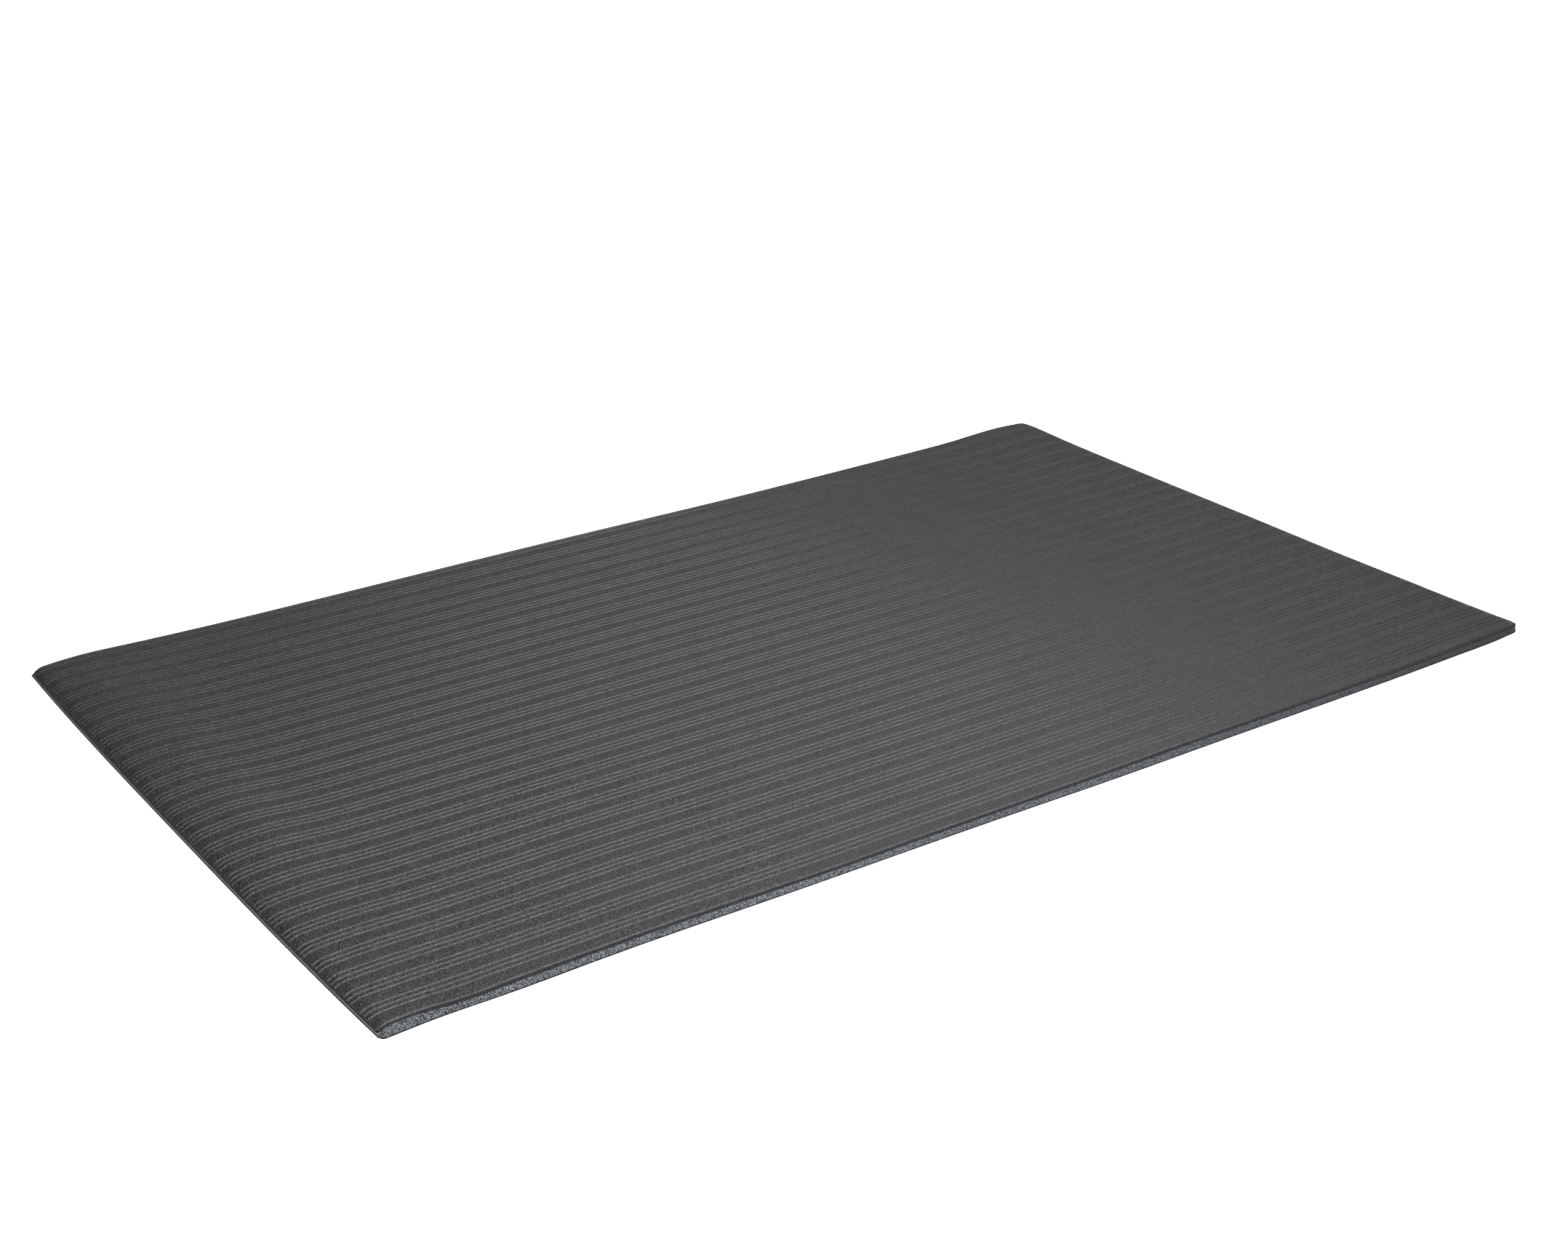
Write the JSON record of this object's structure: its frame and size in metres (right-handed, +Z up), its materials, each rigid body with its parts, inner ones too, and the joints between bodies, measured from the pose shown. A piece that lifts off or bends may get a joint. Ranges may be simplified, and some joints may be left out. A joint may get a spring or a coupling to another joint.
{
  "type": "anti fatigue mat",
  "caption": "Rectangular ribbed floor mat of bonded sheets: an embossed vinyl wear layer on a soft foam core with a thin base skin, for standing on.",
  "frame": {"origin": "centre of the underside, on the floor", "axes": "+X along the grooves (the mat's length), +Y across the grooves, +Z up out of the wear layer"},
  "size_m": [1.524, 0.9144, 0.0095],
  "materials": {
    "ribbed_vinyl": "embossed vinyl with a fine leathery grain, low satin sheen",
    "foam": "cut closed-cell foam, matt and finely pitted",
    "base_film": "matt non-slip film with a fine emboss"
  },
  "bodies": {
    "root": {"wear_layer": "ribbed_vinyl", "foam_core": "foam", "base_skin": "base_film"}
  },
  "joints": []
}
